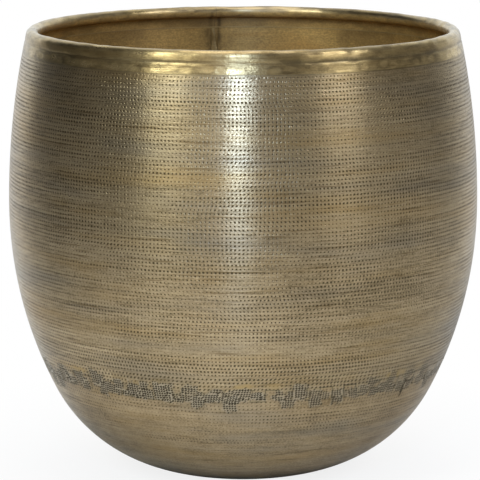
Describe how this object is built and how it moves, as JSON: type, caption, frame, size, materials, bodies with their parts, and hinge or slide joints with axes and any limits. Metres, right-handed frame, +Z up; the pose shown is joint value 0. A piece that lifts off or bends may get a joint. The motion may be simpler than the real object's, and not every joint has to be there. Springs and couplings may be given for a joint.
{
  "type": "planter pot",
  "caption": "Round antique-brass planter pot with a punched barrel side, a dished base brazed on along a toothed seam and a plain wired rim.",
  "frame": {"origin": "centre of the flat sole, on the table", "axes": "+Z up along the pot's axis; +Y toward the back, where the upright seam lies 8 degrees toward -X"},
  "size_m": [0.3, 0.3, 0.284],
  "materials": {
    "wall_brass": "antiqued, punched with rows of small dots, satin",
    "base_brass": "antiqued, faint rows of dots, satin",
    "collar_brass": "hammered plain band, half polished",
    "seam_braze": "filed brazing metal with dark oxide edges",
    "dark_braze": "darkened brazing metal",
    "wire_steel": "drawn steel wire"
  },
  "bodies": {
    "root": {"base_pan": "base_brass", "base_seam_braze": "dark_braze", "side_wall": "wall_brass", "side_seam_braze": "seam_braze", "rim_seam_braze": "seam_braze", "rim_collar": "collar_brass", "collar_seam_braze": "seam_braze", "rim_wire": "wire_steel"}
  },
  "joints": []
}
